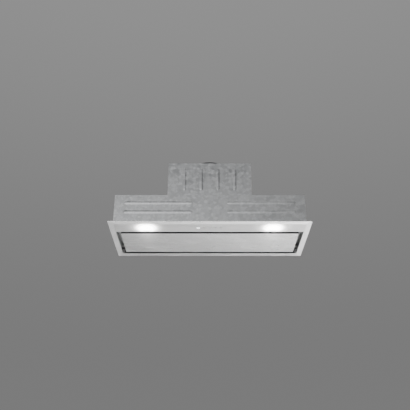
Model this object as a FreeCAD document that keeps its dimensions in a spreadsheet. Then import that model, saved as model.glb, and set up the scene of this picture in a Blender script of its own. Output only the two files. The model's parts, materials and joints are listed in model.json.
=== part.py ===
import FreeCAD, Part
import math
import os

import Sketcher

# Built-in range hood with a perimeter suction panel, in millimetres, +Z up.
# The origin is the middle of the fixing-screw pattern, on the plane of the cabinet bottom:
# what shows from below lies under z = 0 and the casing stands inside the cabinet.
# -Y is the front of the hood and +X its right-hand end as seen from the front.

# Driving dimensions, one name and one value each.
SIZES = {
    # trim frame and openings seen from below
    "hood_width": 700.0,
    "hood_depth": 300.0,
    "border_side": 18.5,
    "border_front": 18.5,
    "border_rear": 26.0,
    "edge_drop": 2.0,
    "border_drop": 3.0,
    "trim_sheet": 1.0,
    "trim_return": 10.0,
    "opening_corner": 10.0,
    "fascia_depth": 64.5,
    "face_recess": 0.5,
    "front_slot": 14.2,
    "side_slot": 15.0,
    "rear_slot": 12.0,
    # clearances
    "fit_gap": 0.3,
    "pin_gap": 0.15,
    # casing and cabinet flange
    "steel_sheet": 0.8,
    "casing_height": 110.0,
    "fixing_end_inset": 70.0,
    "fixing_inset": 10.0,
    "fixing_hole": 2.25,
    # fascia, lamps and keys
    "fascia_front_rise": 12.0,
    "fascia_rear_rise": 18.0,
    "control_line": 31.5,
    "lamp_spacing": 442.0,
    "lamp_rim": 31.0,
    "lamp_neck": 28.7,
    "lamp_wall": 1.0,
    "lamp_neck_rise": 7.0,
    "lamp_rim_drop": 1.2,
    "lens_drop": 1.0,
    "lens_thick": 2.4,
    "lamp_depth": 14.0,
    "led_board_thick": 1.5,
    "clip_width": 8.0,
    "key_pitch": 20.0,
    "key_radius": 5.4,
    "key_flange": 6.6,
    "key_flange_thick": 1.0,
    "key_proud": 0.8,
    "key_travel": 0.8,
    "key_stem": 3.0,
    "key_stem_rise": 2.9,
    "carrier_length": 117.0,
    "carrier_depth": 27.0,
    "carrier_height": 12.0,
    "carrier_wall": 2.0,
    "carrier_floor": 6.0,
    "circuit_board": 1.6,
    # suction panel and its hinge
    "panel_height": 12.0,
    "panel_corner": 2.0,
    "panel_fold": 1.5,
    "panel_back_sheet": 0.8,
    "hinge_inset": 12.0,
    "hinge_rise": 8.0,
    "hinge_pin": 2.5,
    "hinge_lug": 10.0,
    "hinge_lug_depth": 14.0,
    "hinge_side_gap": 1.5,
    "hinge_block_depth": 24.0,
    "hinge_block_height": 14.0,
    "hinge_block_recess": 2.0,
    "hinge_block_corner": 2.0,
    "hinge_pin_reach": 10.0,
    # grease filters
    "filter_height": 24.0,
    "filter_thick": 10.0,
    "filter_rim": 12.0,
    "filter_gap": 1.5,
    "filter_front_gap": 6.0,
    "rail_sheet": 1.2,
    "rail_lip": 4.0,
    "rail_rise": 36.0,
    "latch_half": 20.0,
    "latch_depth": 26.0,
    "latch_plate": 1.7,
    "latch_travel": 7.0,
    "latch_tab_half": 14.0,
    "latch_tab_drop": 9.0,
    "latch_tab_thick": 3.0,
    "guide_wall": 3.0,
    "guide_lip": 3.0,
    "guide_sheet": 1.2,
    "magnet_spacing": 500.0,
    "magnet_half": 12.0,
    "magnet_depth": 12.0,
    "magnet_arm": 3.5,
    # fan box, blower and outlet
    "fan_box_width": 300.0,
    "fan_box_depth": 236.0,
    "fan_box_height": 140.0,
    "fan_flange": 12.0,
    "fan_opening_rim": 10.0,
    "shaft_rise": 55.0,
    "shaft_forward": 30.0,
    "impeller_radius": 66.0,
    "blade_depth": 11.0,
    "blade_thick": 0.8,
    "blade_count": 32.0,
    "impeller_width": 108.0,
    "impeller_disc": 3.0,
    "scroll_width": 124.0,
    "scroll_wall": 2.0,
    "scroll_start": 72.0,
    "scroll_growth": 28.0,
    "inlet_radius": 58.0,
    "motor_radius": 43.0,
    "motor_length": 72.0,
    "motor_wall": 1.5,
    "motor_end": 5.0,
    "bearing_radius": 8.0,
    "shaft_radius": 4.0,
    "shaft_overhang": 6.0,
    "rotor_radius": 24.0,
    "rotor_length": 36.0,
    "stator_length": 40.0,
    "bracket_sheet": 2.0,
    "bracket_ring": 8.0,
    "bracket_arm": 10.0,
    "collar_radius": 75.0,
    "collar_wall": 1.5,
    "collar_height": 45.0,
    "collar_flange": 17.0,
    "collar_flange_thick": 1.2,
    "collar_rear": 22.0,
    "damper_pin_radius": 2.0,
    "damper_rise": 10.0,
    "damper_sleeve": 3.5,
    "damper_sheet": 1.0,
    "damper_edge_gap": 1.0,
    "damper_stop": 3.5,
    # control box on the casing
    "control_end_gap": 22.8,
    "control_depth": 120.0,
    "control_height": 35.0,
    "control_sheet": 1.2,
    "control_from_fan_box": 40.0,
    "control_lip": 8.0,
    "standoff_radius": 3.0,
    "standoff_rise": 7.0,
    "driver_length": 60.0,
    "driver_depth": 30.0,
    "driver_height": 17.0,
    "terminal_length": 20.0,
    "terminal_depth": 30.0,
    "terminal_height": 11.0,
    "gland_radius": 11.0,
    "gland_thread": 8.0,
    "gland_bore": 4.5,
    "gland_length": 16.0,
    "lead_radius": 3.5,
    "lead_rise": 20.0,
    # screws
    "screw_head": 3.6,
    "screw_head_height": 2.0,
    "screw_shank": 1.6,
    "screw_grip": 3.0,
    "end_flange": 14.0,
}

doc = FreeCAD.newDocument("RangeHood")
sheet = doc.addObject("Spreadsheet::Sheet", "Sizes")
for row, (name, number) in enumerate(SIZES.items(), start=1):
    sheet.set(f"A{row}", name)
    sheet.set(f"B{row}", str(number))
    sheet.setAlias(f"B{row}", name)
doc.recompute()


class Size:
    """A length that carries its value and the sheet expression that gives it."""

    def __init__(self, value, text):
        self.value = value
        self.text = text

    def __add__(self, other):
        other = as_size(other)
        return Size(self.value + other.value, f"({self.text} + {other.text})")

    def __sub__(self, other):
        other = as_size(other)
        return Size(self.value - other.value, f"({self.text} - {other.text})")

    def __mul__(self, other):
        other = as_size(other)
        return Size(self.value * other.value, f"({self.text} * {other.text})")

    def __truediv__(self, other):
        other = as_size(other)
        return Size(self.value / other.value, f"({self.text} / {other.text})")

    def __radd__(self, other):
        return as_size(other) + self

    def __rsub__(self, other):
        return as_size(other) - self

    def __rmul__(self, other):
        return as_size(other) * self

    def __neg__(self):
        return Size(-self.value, f"(0 - {self.text})")


def as_size(thing):
    return thing if isinstance(thing, Size) else Size(float(thing), f"({float(thing)})")


def cell(name):
    """A driving dimension, as the sheet holds it."""
    return Size(float(sheet.get(name)), "Sizes." + name)


class Dimensions:
    """The driving dimensions by name."""

    def __getattr__(self, name):
        return cell(name)


dim = Dimensions()
nodes = {}
TURN_TO = {
    "Z": FreeCAD.Rotation(),
    "X": FreeCAD.Rotation(FreeCAD.Vector(0, 1, 0), 90),
    "Y": FreeCAD.Rotation(FreeCAD.Vector(1, 0, 0), -90),
}


# Small helpers: each makes one object and ties its sizes to the sheet.

def bind(thing, prop, length):
    thing.setExpression(prop, as_size(length).text)


def place(thing, x, y, z, axis="Z"):
    thing.Placement = FreeCAD.Placement(FreeCAD.Vector(), TURN_TO[axis])
    for letter, length in zip("xyz", (x, y, z)):
        bind(thing, "Placement.Base." + letter, length)


def box(label, x0, x1, y0, y1, z0, z1):
    block = doc.addObject("Part::Box", label)
    bind(block, "Length", as_size(x1) - x0)
    bind(block, "Width", as_size(y1) - y0)
    bind(block, "Height", as_size(z1) - z0)
    place(block, x0, y0, z0)
    return block


def rod(label, radius, length, x, y, z, axis="Z"):
    cylinder = doc.addObject("Part::Cylinder", label)
    bind(cylinder, "Radius", radius)
    bind(cylinder, "Height", length)
    place(cylinder, x, y, z, axis)
    return cylinder


def fuse(label, *pieces):
    whole = doc.addObject("Part::MultiFuse", label)
    whole.Shapes = list(pieces)
    whole.Refine = True
    return whole


def cut(label, base, *tools):
    rest = doc.addObject("Part::Cut", label)
    rest.Base = base
    rest.Tool = tools[0] if len(tools) == 1 else fuse(label + "_tools", *tools)
    rest.Refine = True
    return rest


def group(label, *pieces):
    several = doc.addObject("Part::Compound", label)
    several.Links = list(pieces)
    return several


def mirrored(label, source):
    other = doc.addObject("Part::Mirroring", label)
    other.Source = source
    other.Normal = FreeCAD.Vector(1, 0, 0)
    return other


def node(thing):
    """Marks an object as a sub-part: its label names its file."""
    nodes[thing.Label] = thing
    return thing


def origin_plane(body, role):
    return [feature for feature in body.Origin.OriginFeatures if feature.Role == role][0]


def sketch_on(body, role, points):
    """A closed outline of straight lines, each corner held by two dimensions."""
    sketch = body.newObject("Sketcher::SketchObject", body.Label + "_outline")
    sketch.AttachmentSupport = [(origin_plane(body, role), "")]
    sketch.MapMode = "FlatFace"
    points = [(as_size(across), as_size(up)) for across, up in points]
    corners = [FreeCAD.Vector(across.value, up.value, 0) for across, up in points]
    for index, corner in enumerate(corners):
        sketch.addGeometry(Part.LineSegment(corner, corners[(index + 1) % len(corners)]), False)
    for index in range(len(corners)):
        after = (index + 1) % len(corners)
        sketch.addConstraint(Sketcher.Constraint("Coincident", index, 2, after, 1))
    for index, (across, up) in enumerate(points):
        hold_corner(sketch, index, "DistanceX", across, -2)
        hold_corner(sketch, index, "DistanceY", up, -1)
    return sketch


def hold_corner(sketch, line, kind, length, axis):
    if length.value == 0:
        sketch.addConstraint(Sketcher.Constraint("PointOnObject", line, 1, axis))
        return
    number = sketch.addConstraint(Sketcher.Constraint(kind, -1, 1, line, 1, length.value))
    sketch.setExpression(f"Constraints[{number}]", length.text)


def turned(label, outline, x, y, z, axis="Z"):
    """A turned piece: outline is a closed list of (radius, height)."""
    body = doc.addObject("PartDesign::Body", label)
    sketch = sketch_on(body, "XZ_Plane", outline)
    turn = body.newObject("PartDesign::Revolution", label + "_turn")
    turn.Profile = sketch
    turn.ReferenceAxis = (sketch, ["V_Axis"])
    turn.Angle = 360
    place(body, x, y, z, axis)
    return body


def ring(inner, outer, low, high):
    """Outline of a plain turned ring."""
    return [(inner, low), (outer, low), (outer, high), (inner, high)]


def rounded_block(label, x0, x1, y0, y1, z0, z1, radius, rear_only=False, foot=None):
    """A block with rounded upright corners, and a rounded lower edge where foot is given."""
    body = doc.addObject("PartDesign::Body", label)
    sketch = sketch_on(body, "XY_Plane", [(x0, y0), (x1, y0), (x1, y1), (x0, y1)])
    pad = body.newObject("PartDesign::Pad", label + "_pad")
    pad.Profile = sketch
    bind(pad, "Length", as_size(z1) - z0)
    place(body, 0, 0, z0)
    doc.recompute()
    middle = pad.Shape.BoundBox.Center.y
    upright = []
    for number, edge in enumerate(pad.Shape.Edges, start=1):
        ends = [vertex.Point for vertex in edge.Vertexes]
        stands = abs(ends[0].z - ends[1].z) > 0.01
        if stands and (not rear_only or ends[0].y > middle):
            upright.append(f"Edge{number}")
    corners = body.newObject("PartDesign::Fillet", label + "_corners")
    corners.Base = (pad, upright)
    bind(corners, "Radius", radius)
    if foot is None:
        return body
    doc.recompute()
    low = corners.Shape.BoundBox.ZMin
    lower = [f"Edge{number}" for number, edge in enumerate(corners.Shape.Edges, start=1)
             if edge.BoundBox.ZMax < low + 0.01]
    fold = body.newObject("PartDesign::Fillet", label + "_fold")
    fold.Base = (corners, lower)
    bind(fold, "Radius", foot)
    return body


def taper(label, top, bottom, z_top, z_bottom):
    """A block whose sides slope from the top outline to the bottom one, each (x0, x1, y0, y1)."""
    wedge = doc.addObject("Part::Wedge", label)
    for names, lengths in ((("Xmin", "Xmax", "Zmin", "Zmax"), top),
                           (("X2min", "X2max", "Z2min", "Z2max"), bottom)):
        for prop, length in zip(names, lengths):
            bind(wedge, prop, length)
    bind(wedge, "Ymin", 0)
    bind(wedge, "Ymax", as_size(z_top) - z_bottom)
    place(wedge, 0, 0, z_top, "Y")
    return wedge


# Lines that several pieces share.
beyond = 2 * dim.trim_sheet
half_width = dim.hood_width / 2
half_depth = dim.hood_depth / 2
open_half = half_width - dim.border_side
open_front = -half_depth + dim.border_front
open_rear = half_depth - dim.border_rear
fascia_rear = open_front + dim.fascia_depth
panel_front = fascia_rear + dim.front_slot
panel_rear = open_rear - dim.rear_slot
panel_half = open_half - dim.side_slot
face_low = -dim.border_drop + dim.face_recess
face_top = face_low + dim.trim_sheet
wall_step = dim.trim_sheet + dim.fit_gap
casing_half = open_half + wall_step
casing_front = open_front - wall_step
casing_rear = open_rear + wall_step
casing_half_out = casing_half + dim.steel_sheet
casing_front_out = casing_front - dim.steel_sheet
casing_rear_out = casing_rear + dim.steel_sheet
casing_top = dim.casing_height
casing_under = casing_top - dim.steel_sheet


# Trim frame: a sloped border with an upstand at its rim and a return wall round the opening.

def trim_frame():
    sheet_in = dim.trim_sheet
    rim_low = -dim.edge_drop
    outer = (-half_width, half_width, -half_depth, half_depth)
    inset = (-half_width + sheet_in, half_width - sheet_in, -half_depth + sheet_in, half_depth - sheet_in)
    opening = (-open_half, open_half, open_front, open_rear)
    rim = box("trim_rim", *outer, rim_low, 0)
    slope = taper("trim_slope", outer, opening, rim_low, -dim.border_drop)
    hollow_low = rim_low + sheet_in
    hollow = box("trim_hollow", *inset, hollow_low, beyond)
    hollow_slope = taper("trim_hollow_slope", inset, opening, hollow_low, -dim.border_drop + sheet_in)
    border = cut("trim_border", fuse("trim_block", rim, slope), hollow, hollow_slope)
    wall = rounded_block("trim_wall", -open_half - sheet_in, open_half + sheet_in, open_front - sheet_in,
                         open_rear + sheet_in, -dim.border_drop + sheet_in, dim.trim_return,
                         dim.opening_corner + sheet_in, rear_only=True)
    gap = rounded_block("trim_opening", *opening, -dim.border_drop - beyond, dim.trim_return + beyond,
                        dim.opening_corner, rear_only=True)
    node(cut("trim_frame", fuse("trim_sheet_metal", border, wall), gap))


# Mounting frame: four flange strips butted at the corners, which lie against the cabinet bottom.
# The front and rear strips hold the fixing holes.

def mounting_frame():
    reach = half_width - wall_step
    reach_deep = half_depth - wall_step
    fixing_x = half_width - dim.fixing_end_inset
    fixing_y = half_depth - dim.fixing_inset
    strips = []
    for name, y0, y1, hole_y in (("front", -reach_deep, casing_front_out, -fixing_y),
                                 ("rear", casing_rear_out, reach_deep, fixing_y)):
        strip = box(f"flange_{name}_sheet", -reach, reach, y0, y1, -dim.steel_sheet, 0)
        holes = [rod(f"fixing_hole_{name}_{side}", dim.fixing_hole, 2 * beyond, side * fixing_x, hole_y, -beyond)
                 for side in (-1, 1)]
        strips.append(cut(f"flange_{name}", strip, *holes))
    for name, x0, x1 in (("left", -reach, -casing_half_out), ("right", casing_half_out, reach)):
        strips.append(box(f"flange_{name}", x0, x1, casing_front_out, casing_rear_out, -dim.steel_sheet, 0))
    node(group("mounting_frame", *strips))


# Screws: pan heads on the outside of the sheet, shanks down through it.

def screw(label, x, y, z):
    head = rod(label + "_head", dim.screw_head, dim.screw_head_height, x, y, z)
    shank = rod(label + "_shank", dim.screw_shank, dim.screw_grip, x, y, z - dim.screw_grip)
    return fuse(label, head, shank)


def screw_hole(label, x, y, z):
    return rod(label, dim.screw_shank + dim.pin_gap, 2 * dim.screw_grip + beyond, x, y,
               z - dim.screw_grip - beyond)


def end_screw_places():
    inward = casing_half - dim.end_flange / 2
    middle = (casing_front + casing_rear) / 2
    reach = (casing_rear - casing_front) * 0.4
    return [(side * inward, middle + step * reach, casing_top) for side in (-1, 1) for step in (-1, 0, 1)]


fan_half = dim.fan_box_width / 2
fan_deep = dim.fan_box_depth / 2
fan_top = casing_top + dim.fan_box_height


def fan_screw_places():
    side_x = fan_half + dim.fan_flange / 2
    end_y = fan_deep + dim.fan_flange / 2
    top = casing_top + dim.steel_sheet
    sides = [(side * side_x, step * fan_deep * 0.7, top) for side in (-1, 1) for step in (-1, 1)]
    ends = [(step * fan_half * 0.7, end * end_y, top) for end in (-1, 1) for step in (-1, 1)]
    return sides + ends


def collar_screw_places():
    reach = (dim.collar_radius + dim.collar_flange / 2) * math.sqrt(0.5)
    top = fan_top + dim.collar_flange_thick
    return [(side * reach, dim.collar_rear + end * reach, top) for side in (-1, 1) for end in (-1, 1)]


def holes_at(label, places):
    return [screw_hole(f"{label}_{number}", *spot) for number, spot in enumerate(places, start=1)]


# Casing: a wrap of front, top and rear, and an end plate on each side with a flange under the top.

def casing():
    low = -dim.steel_sheet
    block = box("casing_block", -casing_half, casing_half, casing_front_out, casing_rear_out, low, casing_top)
    inside = box("casing_inside", -casing_half - beyond, casing_half + beyond, casing_front, casing_rear,
                 low - beyond, casing_under)
    opening = box("casing_opening", -fan_half + dim.fan_opening_rim, fan_half - dim.fan_opening_rim,
                  -fan_deep + dim.fan_opening_rim, fan_deep - dim.fan_opening_rim,
                  casing_under - beyond, casing_top + beyond)
    holes = holes_at("casing_hole", end_screw_places() + fan_screw_places())
    node(cut("casing_wrap", block, inside, opening, *holes))
    plate = box("end_plate", casing_half, casing_half_out, casing_front_out, casing_rear_out, low, casing_top)
    flange = box("end_flange_strip", casing_half - dim.end_flange, casing_half, casing_front + dim.fit_gap,
                 casing_rear - dim.fit_gap, casing_under - dim.steel_sheet, casing_under)
    end = cut("casing_end_right", fuse("end_sheet", plate, flange), *holes_at("end_hole", end_screw_places()))
    node(end)
    node(mirrored("casing_end_left", end))


# Fan box: a wrap of left side, top and right side, with a front and a rear plate.

def fan_box():
    sheet_in = dim.steel_sheet
    block = box("fan_block", -fan_half, fan_half, -fan_deep, fan_deep, casing_top, fan_top)
    inside = box("fan_inside", -fan_half + sheet_in, fan_half - sheet_in, -fan_deep - beyond, fan_deep + beyond,
                 casing_top - beyond, fan_top - sheet_in)
    strips = [box(f"fan_side_flange_{side}", side * fan_half - (dim.fan_flange if side < 0 else 0),
                  side * fan_half + (dim.fan_flange if side > 0 else 0), -fan_deep, fan_deep,
                  casing_top, casing_top + sheet_in) for side in (-1, 1)]
    outlet = rod("fan_outlet_hole", dim.collar_radius - dim.collar_wall, 2 * beyond, 0, dim.collar_rear,
                 fan_top - beyond)
    lead_hole = rod("fan_lead_hole", dim.lead_radius + dim.pin_gap, 2 * beyond, fan_half - beyond, 0,
                    casing_top + dim.lead_rise, "X")
    shell = cut("fan_shell", block, inside)
    holes = holes_at("fan_hole", fan_screw_places() + collar_screw_places())
    node(cut("fan_box_wrap", fuse("fan_wrap_sheet", shell, *strips), outlet, lead_hole, *holes))
    for end, label in ((-1, "fan_box_front"), (1, "fan_box_rear")):
        face = end * fan_deep
        inner = face - end * sheet_in
        outer = face + end * dim.fan_flange
        near, far = (face, inner) if end < 0 else (inner, face)
        plate = box(label + "_plate", -fan_half + sheet_in, fan_half - sheet_in, near, far, casing_top,
                    fan_top - sheet_in)
        near, far = (outer, face) if end < 0 else (face, outer)
        strip = box(label + "_flange", -fan_half + sheet_in, fan_half - sheet_in, near, far, casing_top,
                    casing_top + sheet_in)
        node(cut(label, fuse(label + "_sheet", plate, strip), *holes_at(label + "_hole", fan_screw_places())))


# Blower: a scroll in two halves round an impeller with blades on both sides of its disc.

shaft_y = -dim.shaft_forward
shaft_z = casing_top + dim.shaft_rise
scroll_half = dim.scroll_width / 2
motor_right = scroll_half + dim.bracket_sheet
motor_left = motor_right - dim.motor_length
disc_right = motor_left - 4 * dim.trim_sheet
disc_left = disc_right - dim.impeller_disc
hub_left = disc_left - 2 * dim.impeller_disc
TONGUE_ANGLE = math.radians(50)


def scroll_radius(angle):
    """Inner radius of the scroll, growing evenly from the tongue to the outlet."""
    share = (angle - TONGUE_ANGLE) / (2 * math.pi - TONGUE_ANGLE)
    return dim.scroll_start.value + dim.scroll_growth.value * share


def scroll_face(x, swell, top):
    """Face of the scroll's outline in the plane at x, swelled outwards by the wall."""
    left = dim.scroll_start.value * math.cos(TONGUE_ANGLE) - swell
    first = math.acos(left / (dim.scroll_start.value + swell))
    steps = 12
    angles = [first + (2 * math.pi - first) * step / steps for step in range(steps + 1)]

    def point(across, up):
        return FreeCAD.Vector(x, shaft_y.value + across, shaft_z.value + up)

    reaches = [scroll_radius(angle) + swell for angle in angles]
    curve = Part.BSplineCurve()
    curve.interpolate([point(r * math.cos(a), r * math.sin(a)) for r, a in zip(reaches, angles)])
    rise = top - shaft_z.value
    start = point(reaches[0] * math.cos(first), reaches[0] * math.sin(first))
    corners = [point(reaches[-1], 0), point(reaches[-1], rise), point(left, rise), start]
    edges = [curve.toShape()]
    edges += [Part.LineSegment(a, b).toShape() for a, b in zip(corners, corners[1:])]
    return Part.Face(Part.Wire(edges))


def scroll():
    wall = dim.scroll_wall.value
    half = scroll_half.value
    top = (fan_top - dim.steel_sheet - dim.fit_gap).value
    along = FreeCAD.Vector(1, 0, 0)
    outside = scroll_face(-half, wall, top).extrude(along * half)
    inside = scroll_face(wall - half, 0, top + wall).extrude(along * half)
    centre = FreeCAD.Vector(-half - wall, shaft_y.value, shaft_z.value)
    inlet = Part.makeCylinder(dim.inlet_radius.value, 3 * wall, centre, along)
    left = doc.addObject("Part::Feature", "scroll_left")
    left.Shape = outside.cut(inside).cut(inlet)
    node(left)
    node(mirrored("scroll_right", left))


def blade_face(x, angle):
    """Section of one forward-curved blade, at x, whose root is at the given angle."""
    outer = dim.impeller_radius.value
    inner = outer - dim.blade_depth.value
    lean = math.radians(7)

    def point(radius, turn):
        return FreeCAD.Vector(x, radius * math.cos(angle + turn), radius * math.sin(angle + turn))

    def side(turn):
        middle = (inner + outer) / 2
        return Part.Arc(point(inner, turn), point(middle, turn + 0.2 * lean), point(outer, turn + lean)).toShape()

    thick = dim.blade_thick.value / outer
    ends = [Part.LineSegment(point(inner, 0), point(inner, thick)).toShape(),
            Part.LineSegment(point(outer, lean), point(outer, lean + thick)).toShape()]
    return Part.Face(Part.Wire(Part.__sortEdges__([side(0), side(thick)] + ends)))


def tube(inner, outer, left, right):
    along = FreeCAD.Vector(1, 0, 0)
    start = FreeCAD.Vector(left, 0, 0)
    return Part.makeCylinder(outer, right - left, start, along).cut(
        Part.makeCylinder(inner, right - left, start, along))


def impeller():
    outer = dim.impeller_radius.value
    inner = outer - dim.blade_depth.value
    half = dim.impeller_width.value / 2
    rim = dim.impeller_disc.value
    bore = (dim.shaft_radius + dim.pin_gap).value
    pieces = [tube(inner, outer, -half, rim - half), tube(inner, outer, half - rim, half),
              tube(bore, outer, disc_left.value, disc_right.value),
              tube(bore, 3 * dim.shaft_radius.value, hub_left.value, disc_right.value)]
    count = int(dim.blade_count.value)
    length = FreeCAD.Vector(2 * half - rim, 0, 0)
    for number in range(count):
        pieces.append(blade_face(rim / 2 - half, 2 * math.pi * number / count).extrude(length))
    wheel = doc.addObject("Part::Feature", "impeller")
    wheel.Shape = pieces[0].multiFuse(pieces[1:]).removeSplitter()
    wheel.Placement = FreeCAD.Placement(FreeCAD.Vector(0, shaft_y.value, shaft_z.value), FreeCAD.Rotation())
    node(wheel)


def bracket_arm(number):
    """One arm of the motor bracket, from the hub ring out to the inlet ring."""
    angle = math.radians(120 * number)
    start = dim.motor_radius + 2 * dim.trim_sheet
    arm = doc.addObject("Part::Box", f"bracket_arm_{number}")
    bind(arm, "Length", dim.bracket_sheet)
    bind(arm, "Width", dim.bracket_arm)
    bind(arm, "Height", dim.inlet_radius + 2 * dim.trim_sheet - start)
    side = -dim.bracket_arm / 2
    place(arm, scroll_half, shaft_y + side * math.cos(angle) - start * math.sin(angle),
          shaft_z + side * math.sin(angle) + start * math.cos(angle))
    arm.Placement = FreeCAD.Placement(arm.Placement.Base,
                                      FreeCAD.Rotation(FreeCAD.Vector(1, 0, 0), 120 * number))
    return arm


def motor():
    at = (motor_left, shaft_y, shaft_z, "X")
    length = dim.motor_length
    end = dim.motor_end
    seat = dim.bearing_radius + dim.pin_gap
    cavity = dim.motor_radius - dim.motor_wall
    node(turned("motor_housing", [(seat, 0), (dim.motor_radius, 0), (dim.motor_radius, length), (seat, length),
                                  (seat, length - end), (cavity, length - end), (cavity, end), (seat, end)], *at))
    running = dim.shaft_radius + dim.pin_gap
    bearings = [turned(f"motor_bearing_{number}", ring(running, dim.bearing_radius, low, low + end), *at)
                for number, low in enumerate((as_size(0), length - end), start=1)]
    node(group("motor_bearings", *bearings))
    middle = length / 2
    half = dim.stator_length / 2
    node(turned("motor_stator", ring(dim.rotor_radius + dim.fit_gap, cavity - dim.pin_gap, middle - half,
                                     middle + half), *at))
    half = dim.rotor_length / 2
    node(turned("motor_rotor", ring(running, dim.rotor_radius, middle - half, middle + half), *at))
    shaft_end = hub_left - dim.trim_sheet
    node(rod("motor_shaft", dim.shaft_radius, motor_right + dim.shaft_overhang - shaft_end, shaft_end, shaft_y,
             shaft_z, "X"))
    flat = (scroll_half, shaft_y, shaft_z, "X")
    hub = turned("bracket_hub", ring(dim.motor_radius + dim.pin_gap, dim.motor_radius + 4 * dim.trim_sheet, 0,
                                     dim.bracket_sheet), *flat)
    rim = turned("bracket_rim", ring(dim.inlet_radius, dim.inlet_radius + dim.bracket_ring, 0,
                                     dim.bracket_sheet), *flat)
    node(fuse("motor_bracket", hub, rim, *[bracket_arm(number) for number in range(3)]))


# Outlet collar with a stop ledge, and two damper flaps on one pin.

collar_bore = dim.collar_radius - dim.collar_wall
damper_z = fan_top + dim.damper_rise


def outlet_collar():
    stop = collar_bore - dim.damper_stop
    stop_top = dim.damper_rise - dim.damper_sheet / 2 - dim.fit_gap
    stop_low = stop_top - dim.collar_wall
    rim = dim.collar_radius + dim.collar_flange
    ring_wall = turned("collar_ring", [
        (collar_bore, 0), (rim, 0), (rim, dim.collar_flange_thick), (dim.collar_radius, dim.collar_flange_thick),
        (dim.collar_radius, dim.collar_height), (collar_bore, dim.collar_height), (collar_bore, stop_top),
        (stop, stop_top), (stop, stop_low), (collar_bore, stop_low)], 0, dim.collar_rear, fan_top)
    pin_hole = rod("collar_pin_hole", dim.damper_pin_radius + dim.pin_gap, 2 * dim.collar_radius + 2 * beyond,
                   -dim.collar_radius - beyond, dim.collar_rear, damper_z, "X")
    node(cut("outlet_collar", ring_wall, pin_hole, *holes_at("collar_hole", collar_screw_places())))
    reach = dim.collar_radius - dim.pin_gap
    node(rod("damper_pin", dim.damper_pin_radius, 2 * reach, -reach, dim.collar_rear, damper_z, "X"))


def damper_flap(label, side):
    """Half-disc flap with two knuckles on the pin; side is -1 at the front and 1 at the rear."""
    radius = collar_bore - dim.damper_edge_gap
    half = dim.damper_sheet / 2
    hinge_line = dim.damper_sleeve + dim.damper_edge_gap * 0.7
    disc = rod(label + "_disc", radius, dim.damper_sheet, 0, dim.collar_rear, damper_z - half)
    inner = dim.collar_rear + side * hinge_line
    outer = dim.collar_rear - side * (radius + beyond)
    near, far = (inner, outer) if side < 0 else (outer, inner)
    away = box(label + "_other_half", -radius - beyond, radius + beyond, near, far, damper_z - beyond,
               damper_z + beyond)
    reach = collar_bore - 2 * dim.damper_stop
    knuckle = (reach - dim.damper_edge_gap) / 2
    starts = (-reach, dim.damper_edge_gap / 2) if side < 0 else (-knuckle - dim.damper_edge_gap / 2,
                                                                reach - knuckle)
    pieces = [cut(label + "_plate", disc, away)]
    for number, start in enumerate(starts, start=1):
        pieces.append(rod(f"{label}_knuckle_{number}", dim.damper_sleeve, knuckle, start, dim.collar_rear,
                          damper_z, "X"))
        edge = dim.collar_rear + side * (hinge_line + half)
        root = dim.collar_rear + side * (dim.damper_sleeve - half)
        near, far = (edge, root) if side < 0 else (root, edge)
        pieces.append(box(f"{label}_tab_{number}", start, start + knuckle, near, far, damper_z - half,
                          damper_z + half))
    bore = rod(label + "_bore", dim.damper_pin_radius + dim.pin_gap, 2 * radius, -radius, dim.collar_rear,
               damper_z, "X")
    node(cut(label, fuse(label + "_whole", *pieces), bore))


# Control box on the casing, between the fan box and the right-hand end.

control_left = fan_half + dim.control_from_fan_box
control_right = casing_half - dim.control_end_gap
control_deep = dim.control_depth / 2
control_top = casing_top + dim.control_height
board_low = casing_top + dim.control_sheet + dim.standoff_rise
board_margin = 5 * dim.control_sheet
board_front = -control_deep + dim.driver_depth + 2 * board_margin
board_rear = control_deep - board_margin
lead_z = casing_top + dim.lead_rise
gland_x = control_right - 2 * dim.gland_radius
gland_z = casing_top + dim.gland_radius + 2 * dim.control_sheet


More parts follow.
